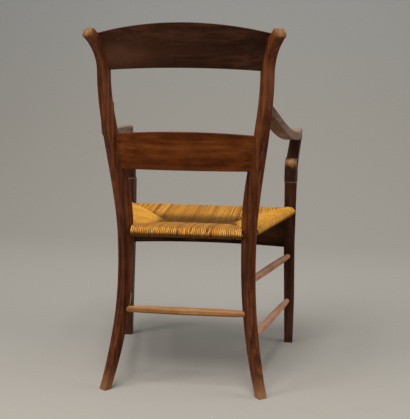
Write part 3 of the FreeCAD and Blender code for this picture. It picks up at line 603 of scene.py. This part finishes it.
@dataclass
class RushSeat:
    """Rush seat: twisted cords wound over the four rails, meeting in a seam and four mitres.

    Lengths are in millimetres, with Y counted from the rear posts, which stand at shift.
    """

    rear_half: float = 155.5
    front_half: float = 241.5
    depth: float = 437.0
    shift: float = 179.33
    front_height: float = 394.5
    rear_height: float = 399.0
    side_rise: float = 4.0
    roll_wide: float = 20.5
    roll_tall: float = 14.5
    cord: float = 4.6
    seam_half: float = 82.0
    seam_setback: float = 215.0
    seam_top: float = 390.5
    seam_low: float = 375.5
    sides: int = 6
    dive: float = 6.0
    overlap: float = 1.0
    turn: float = 2.0
    ease: float = 0.5
    sag: float = 1.5
    pillow: float = 2.5
    rail_degrees: tuple[int, ...] = (-80, -125, -165, 165, 125, 80)
    pillow_shares: tuple[float, ...] = (0.3, 0.6, 0.85)
    thickness: tuple[float, float] = (0.94, 1.12)
    lift: float = 0.35
    sway: float = 0.4
    end_thickness: float = 0.8
    fibre_count: int = 18
    fibre_middle: float = -14.0
    fibre_spread: float = 13.0
    fibre_radius: float = 0.35
    corner_gap: ClassVar[dict[Panel, float]] = {
        Panel.FRONT: 20.5,
        Panel.REAR: 19.0,
        Panel.LEFT: 21.0,
        Panel.RIGHT: 21.0,
    }
    dark_share: ClassVar[dict[Panel, float]] = {
        Panel.FRONT: 0.12,
        Panel.REAR: 0.03,
        Panel.LEFT: 0.0,
        Panel.RIGHT: 0.0,
    }
    seed: int = 7
    rng: random.Random = field(init=False)

    def __post_init__(self) -> None:
        """Seeds the unevenness of the cords."""
        self.rng = random.Random(self.seed)

    def build(self) -> None:
        """Winds the four panels and dresses them."""
        finishes = {
            Panel.FRONT: FRONT_RUSH.build(),
            Panel.REAR: REAR_RUSH.build(),
            Panel.LEFT: SIDE_RUSH.build(),
        }
        finishes[Panel.RIGHT] = finishes[Panel.LEFT]
        for panel in Panel:
            piece = self.wind(panel)
            Woodwork.cover(piece, finishes[panel])
            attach(piece, "root")
            if panel is Panel.FRONT:
                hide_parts("rush_seat")
            log.info("wound %s with %d faces", piece.name, len(piece.data.polygons))
        fibres = self.fray()
        Woodwork.cover(fibres, finishes[Panel.REAR])
        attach(fibres, "root")

    def half_width(self, y: float) -> float:
        """Half of the seat's width between the side rails at a depth."""
        return self.rear_half + (self.front_half - self.rear_half) * -y / self.depth

    def reach(self, panel: Panel, place: float) -> float:
        """Distance from a panel's rail to the seam or mitre.

        Args:
            panel: The panel.
            place: X of a front or rear cord, Y of a side cord.

        Returns:
            The cord's length in plan.
        """
        if panel is Panel.FRONT:
            share = (self.front_half - abs(place)) / (self.front_half - self.seam_half)
            return min(1.0, share) * (self.depth - self.seam_setback)
        if panel is Panel.REAR:
            share = (self.rear_half - abs(place)) / (self.rear_half - self.seam_half)
            return min(1.0, share) * self.seam_setback
        half = self.half_width(place)
        if -place <= self.seam_setback:
            edge = self.rear_half + (self.seam_half - self.rear_half) * -place / self.seam_setback
        else:
            past = (-place - self.seam_setback) / (self.depth - self.seam_setback)
            edge = self.seam_half + (self.front_half - self.seam_half) * past
        return half - edge

    def route(self, panel: Panel, place: float) -> list[Vector]:
        """Centre line of one cord, from the lower seam round its rail to the upper seam.

        Args:
            panel: The panel.
            place: X of a front or rear cord, Y of a side cord.

        Returns:
            Points in millimetres, Y counted from the rear posts.
        """
        reach = self.reach(panel, place)
        share = reach / self.full_reach(panel, place)
        height = self.rail_height(panel, place)
        wide = self.roll_wide - self.cord / 2
        tall = self.roll_tall - self.cord / 2
        top = height + tall
        low = height - tall
        end_top = top + (self.seam_top - self.cord / 2 - top) * share
        end_low = low + (self.seam_low + self.cord / 2 - low) * share
        pairs = [
            (reach + self.overlap, end_low + self.dive),
            (reach - self.turn, end_low + self.ease),
            (reach * 0.5, (end_low + low) / 2 - self.sag),
        ]
        for degrees in self.rail_degrees:
            angle = math.radians(degrees)
            pairs.append((wide * math.cos(angle), height + tall * math.sin(angle)))
        for along in self.pillow_shares:
            rise = self.pillow * share * math.sin(math.pi * along)
            pairs.append((reach * along, top + (end_top - top) * along + rise))
        pairs += [(reach - self.turn, end_top - self.ease), (reach + self.overlap, end_top - self.dive)]
        return [self.spot(panel, place, inward, z) for inward, z in pairs]

    def full_reach(self, panel: Panel, place: float) -> float:
        """Distance from a panel's rail to the middle of the seam.

        Args:
            panel: The panel.
            place: Y of a side cord.

        Returns:
            The distance in plan.
        """
        if panel is Panel.FRONT:
            return self.depth - self.seam_setback
        if panel is Panel.REAR:
            return self.seam_setback
        return self.half_width(place) - self.seam_half

    def rail_height(self, panel: Panel, place: float) -> float:
        """Height of a panel's roll where a cord crosses its rail.

        Args:
            panel: The panel.
            place: Y of a side cord.

        Returns:
            The height of the roll's middle.
        """
        if panel is Panel.FRONT:
            return self.front_height
        if panel is Panel.REAR:
            return self.rear_height
        share = -place / self.depth
        return self.rear_height + (self.front_height - self.rear_height) * share + self.side_rise

    def spot(self, panel: Panel, place: float, inward: float, z: float) -> Vector:
        """Point of a cord's route.

        Args:
            panel: The panel.
            place: X of a front or rear cord, Y of a side cord.
            inward: Distance from the rail towards the seat's middle.
            z: Height.

        Returns:
            The point, in millimetres.
        """
        if panel is Panel.FRONT:
            return Vector((place, -self.depth + inward, z))
        if panel is Panel.REAR:
            return Vector((place, -inward, z))
        side = 1 if panel is Panel.LEFT else -1
        return Vector((side * (self.half_width(place) - inward), place, z))

    def places(self, panel: Panel) -> list[float]:
        """Places of a panel's cords along its rail.

        Args:
            panel: The panel.

        Returns:
            X of front and rear cords, or Y of side cords.
        """
        ends = {
            Panel.FRONT: (-self.front_half, self.front_half),
            Panel.REAR: (-self.rear_half, self.rear_half),
        }
        low, high = ends.get(panel, (-self.depth, 0.0))
        low += self.corner_gap[panel]
        high -= self.corner_gap[panel]
        count = round((high - low) / self.cord)
        step = (high - low) / count
        return [low + step * index for index in range(count + 1)]

    def blank(self, stations: int) -> bmesh.types.BMesh:
        """Straight closed tube of rings a unit apart along Z, with its UV map.

        Its faces point inwards, because bending it along a route mirrors it.

        Args:
            stations: How many rings it has.

        Returns:
            The tube, to be bent along a route.
        """
        tube = bmesh.new()
        bmesh.ops.create_circle(tube, cap_ends=False, segments=self.sides, radius=1.0)
        edges = tube.edges[:]
        for _ in range(stations - 1):
            grown = bmesh.ops.extrude_edge_only(tube, edges=edges)["geom"]
            rim = [part for part in grown if isinstance(part, bmesh.types.BMVert)]
            bmesh.ops.translate(tube, verts=rim, vec=(0.0, 0.0, 1.0))
            edges = [part for part in grown if isinstance(part, bmesh.types.BMEdge)]
        bmesh.ops.holes_fill(tube, edges=tube.edges[:], sides=0)
        chart = tube.loops.layers.uv.new("twist")
        tube.verts.layers.float.new("tone")
        tube.verts.layers.float.new("side_shade")
        for facet in tube.faces:
            facet.smooth = len(facet.verts) == 4
            middle = facet.calc_center_median()
            centre = math.atan2(middle.y, middle.x)
            for loop in facet.loops:
                angle = math.atan2(loop.vert.co.y, loop.vert.co.x)
                gap = (angle - centre + math.pi) % math.tau - math.pi
                loop[chart].uv = ((centre + gap) / math.tau, loop.vert.co.z)
        bmesh.ops.recalc_face_normals(tube, faces=tube.faces[:])
        bmesh.ops.reverse_faces(tube, faces=tube.faces[:])
        return tube

    def wind(self, panel: Panel) -> bpy.types.Object:
        """Makes one panel of cords.

        Args:
            panel: The panel.

        Returns:
            The panel's object, linked to the scene.
        """
        mesh = bpy.data.meshes.new(f"{panel.value}_rush_cords")
        whole = bmesh.new()
        blank = None
        for place in self.places(panel):
            route = self.route(panel, place)
            blank = blank or self.blank(len(route))
            cord = blank.copy()
            self.bend(cord, panel, route)
            part = bpy.data.meshes.new("one_cord")
            cord.to_mesh(part)
            cord.free()
            whole.from_mesh(part)
            bpy.data.meshes.remove(part)
        blank.free()
        whole.to_mesh(mesh)
        whole.free()
        piece = bpy.data.objects.new(mesh.name, mesh)
        bpy.context.scene.collection.objects.link(piece)
        return piece

    def fray(self) -> bpy.types.Object:
        """Loose ends of rush that hang from the underside of the rear roll.

        Returns:
            The fibres' object, linked to the scene.
        """
        tuft = bmesh.new()
        tuft.loops.layers.uv.new("twist")
        tuft.verts.layers.float.new("tone")
        for _ in range(self.fibre_count):
            x = self.rng.gauss(self.fibre_middle, self.fibre_spread)
            y = self.shift + self.rng.uniform(2.0, 9.0)
            root = Vector((x, y, self.rear_height - self.roll_tall + 2.0))
            slant = self.rng.uniform(-5.0, 5.0)
            outward = self.rng.uniform(0.0, 3.0)
            hang = Vector((slant, outward, self.rng.uniform(-8.5, -3.5)))
            made = bmesh.ops.create_circle(tuft, cap_ends=True, segments=3, radius=self.fibre_radius * MM)
            ring = made["verts"]
            bmesh.ops.translate(tuft, verts=ring, vec=root * MM)
            for step in range(3):
                face = next(facet for facet in tuft.faces if all(vert in ring for vert in facet.verts))
                grown = bmesh.ops.extrude_face_region(tuft, geom=[face])["geom"]
                if step:
                    tuft.faces.remove(face)
                ring = [part for part in grown if isinstance(part, bmesh.types.BMVert)]
                bow = Vector((0.0, 0.0, 0.9 * (step - 1)))
                bmesh.ops.translate(tuft, verts=ring, vec=(hang / 3 + bow) * MM)
        bmesh.ops.recalc_face_normals(tuft, faces=tuft.faces)
        mesh = bpy.data.meshes.new("loose_rush_fibres")
        tuft.to_mesh(mesh)
        tuft.free()
        piece = bpy.data.objects.new(mesh.name, mesh)
        bpy.context.scene.collection.objects.link(piece)
        return piece

    def bend(self, cord: bmesh.types.BMesh, panel: Panel, route: list[Vector]) -> None:
        """Lays a straight tube along a route, with the cord's own thickness, tone and twist.

        Args:
            cord: The straight tube.
            panel: The panel that it belongs to.
            route: Centre line in millimetres.
        """
        chart = cord.loops.layers.uv["twist"]
        tone_layer = cord.verts.layers.float["tone"]
        side_shade_layer = cord.verts.layers.float["side_shade"]
        tone = self.rng.random()
        if self.rng.random() < self.dark_share[panel]:
            tone = -1.0
        radius = self.cord / 2 * self.rng.uniform(*self.thickness)
        lift = self.rng.gauss(0.0, self.lift)
        sway = self.rng.gauss(0.0, self.sway)
        phase = self.rng.random()
        flat = (route[1] - route[0]).cross(route[4] - route[1]).normalized()
        lengths = [0.0]
        for first, second in zip(route, route[1:]):
            lengths.append(lengths[-1] + (second - first).length)
        for vert in cord.verts:
            index = round(vert.co.z)
            before = route[max(0, index - 1)]
            after = route[min(len(route) - 1, index + 1)]
            along = (after - before).normalized()
            up = along.cross(flat)
            thin = self.end_thickness if index in (0, len(route) - 1) else 1.0
            spread = (up * vert.co.x + flat * vert.co.y) * radius * thin
            drift = flat * sway * math.sin(index * 0.9 + phase * 6.0)
            spot = route[index] + spread + drift + Vector((0.0, 0.0, lift))
            # Sideways distance from the cord's middle, kept as the mask of painted shade between cords.
            vert[side_shade_layer] = abs(vert.co.y)
            vert.co = Vector((spot.x, spot.y + self.shift, spot.z)) * MM
            vert[tone_layer] = tone
        for facet in cord.faces:
            for loop in facet.loops:
                u, v = loop[chart].uv
                loop[chart].uv = (u + phase, lengths[round(v)] * MM + phase)


@dataclass(frozen=True)
class Lamp:
    """Soft square lamp: where it hangs, the point that it faces, the length of its sides and its watts."""

    name: str
    place: Place
    target: Place
    size: float
    power: float

    def build(self) -> None:
        """Adds the lamp to the scene."""
        light = bpy.data.lights.new(self.name, "AREA")
        light.size = self.size
        light.energy = self.power
        lamp = bpy.data.objects.new(self.name, light)
        lamp.location = self.place
        facing = Vector(self.target) - Vector(self.place)
        lamp.rotation_euler = facing.to_track_quat("-Z", "Y").to_euler()
        bpy.context.scene.collection.objects.link(lamp)


@dataclass
class Studio:
    """Pale floor that curves up into a grey backdrop, with soft lamps. Lengths are in metres."""

    width: float = 9.0
    front: float = 5.0
    back: float = -4.6
    height: float = 5.5
    bend: float = 2.8
    bend_steps: int = 32
    near_paper: Colour = (0.385, 0.350, 0.300)
    far_shaded_paper: Colour = (0.352, 0.328, 0.288)
    high_shaded_paper: Colour = (0.34, 0.335, 0.315)
    air: Colour = (0.96, 0.98, 1.0)
    air_strength: float = 0.34
    lamps: tuple[Lamp, ...] = (
        Lamp("overhead_softbox", (0.1, 1.2, 3.0), (0.0, 0.0, 0.4), 1.4, 68.0),
        Lamp("key_softbox", (2.9, 2.4, 2.3), (0.0, 0.0, 0.55), 1.6, 66.0),
        Lamp("side_softbox", (-2.8, 0.2, 1.3), (0.0, 0.0, 0.45), 1.6, 26.0),
        Lamp("backdrop_wash", (0.0, -1.0, 2.6), (0.0, -4.6, 1.6), 3.0, 36.0),
    )

    def build(self) -> None:
        """Sets up the floor, the lamps and the world."""
        self.sweep()
        for lamp in self.lamps:
            lamp.build()
        world = bpy.data.worlds.new("studio_air")
        world.use_nodes = True
        background = world.node_tree.nodes["Background"]
        background.inputs["Color"].default_value = (*self.air, 1.0)
        background.inputs["Strength"].default_value = self.air_strength
        bpy.context.scene.world = world
        bpy.context.scene.view_settings.view_transform = "Standard"

    def sweep(self) -> None:
        """Makes the floor and backdrop as one bent sheet."""
        paper = bmesh.new()
        ends = [paper.verts.new((side * self.width / 2, self.front, 0.0)) for side in (1, -1)]
        edge = paper.edges.new(ends)
        edge = self.drawn_on(paper, edge, (0.0, self.back + self.bend - self.front, 0.0))
        centre = (0.0, self.back + self.bend, self.bend)
        turned = bmesh.ops.spin(
            paper,
            geom=[edge, *edge.verts],
            cent=centre,
            axis=(1.0, 0.0, 0.0),
            angle=-math.pi / 2,
            steps=self.bend_steps,
        )["geom_last"]
        edge = next(part for part in turned if isinstance(part, bmesh.types.BMEdge))
        self.drawn_on(paper, edge, (0.0, 0.0, self.height - self.bend))
        for facet in paper.faces:
            facet.smooth = True
        mesh = bpy.data.meshes.new("floor_sweep")
        paper.to_mesh(mesh)
        paper.free()
        mesh.materials.append(self.paper_finish())
        floor = bpy.data.objects.new(mesh.name, mesh)
        bpy.context.scene.collection.objects.link(floor)

    def paper_finish(self) -> bpy.types.Material:
        """Makes the paper's material, with painted shade that makes it a little darker and cooler behind and
        higher up than in front.

        Returns:
            The finished material.
        """
        made = Finish("studio_paper")
        place = made.add("TexCoord").outputs["Object"]
        split = made.add("SeparateXYZ", None, Vector=place)
        far = made.remap(made.value(split, "Y") * -1.0, -1.2, 0.9)
        high = made.remap(made.value(split, "Z"), 0.4, 1.6)
        colour = made.mix(far, self.near_paper, self.far_shaded_paper)
        colour = made.mix(high, colour, self.high_shaded_paper)
        return made.surface(made.add("BsdfPrincipled", None, Base_Color=colour, Roughness=0.85))

    @staticmethod
    def drawn_on(paper: bmesh.types.BMesh, edge: bmesh.types.BMEdge, way: Place) -> bmesh.types.BMEdge:
        """Extends the sheet from one edge.

        Args:
            paper: The sheet.
            edge: The edge.
            way: Direction and distance that it moves.

        Returns:
            The sheet's new edge.
        """
        grown = bmesh.ops.extrude_edge_only(paper, edges=[edge])["geom"]
        rim = [part for part in grown if isinstance(part, bmesh.types.BMVert)]
        bmesh.ops.translate(paper, verts=rim, vec=way)
        return next(part for part in grown if isinstance(part, bmesh.types.BMEdge))


@dataclass(frozen=True)
class PhotoCamera:
    """Camera at the photograph's viewpoint, behind the chair and to its right.

    Angles are in degrees, and the lens and the sensor in millimetres.
    """

    place: Place = (-0.31749, 2.23976, 0.75678)
    heading: float = -7.5196
    downward: float = 8.1854
    roll: float = 0.6784
    lens: float = 73.01
    sensor: float = 36.0
    nearest: float = 0.05

    def build(self) -> None:
        """Makes the scene's camera."""
        data = bpy.data.cameras.new("photo_camera")
        data.lens = self.lens
        data.sensor_width = self.sensor
        data.clip_start = self.nearest
        camera = bpy.data.objects.new("photo_camera", data)
        yaw = math.radians(self.heading)
        pitch = math.radians(self.downward)
        ahead = Vector((-math.sin(yaw) * math.cos(pitch), -math.cos(yaw) * math.cos(pitch), -math.sin(pitch)))
        right = Vector((-math.cos(yaw), math.sin(yaw), 0.0))
        above = right.cross(ahead)
        turn = Matrix.Rotation(-math.radians(self.roll), 3, ahead)
        axes = Matrix((right, above, -ahead)).transposed()
        camera.matrix_world = Matrix.Translation(self.place) @ (turn @ axes).to_4x4()
        bpy.context.scene.collection.objects.link(camera)
        bpy.context.scene.camera = camera


def main() -> None:
    """Builds the looks of the chair, class by class, and keeps its size."""
    logging.basicConfig(level=logging.INFO, format="%(message)s")
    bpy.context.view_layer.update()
    Woodwork().dress()
    RushSeat().build()
    Studio().build()
    PhotoCamera().build()


if __name__ == "__main__":
    main()
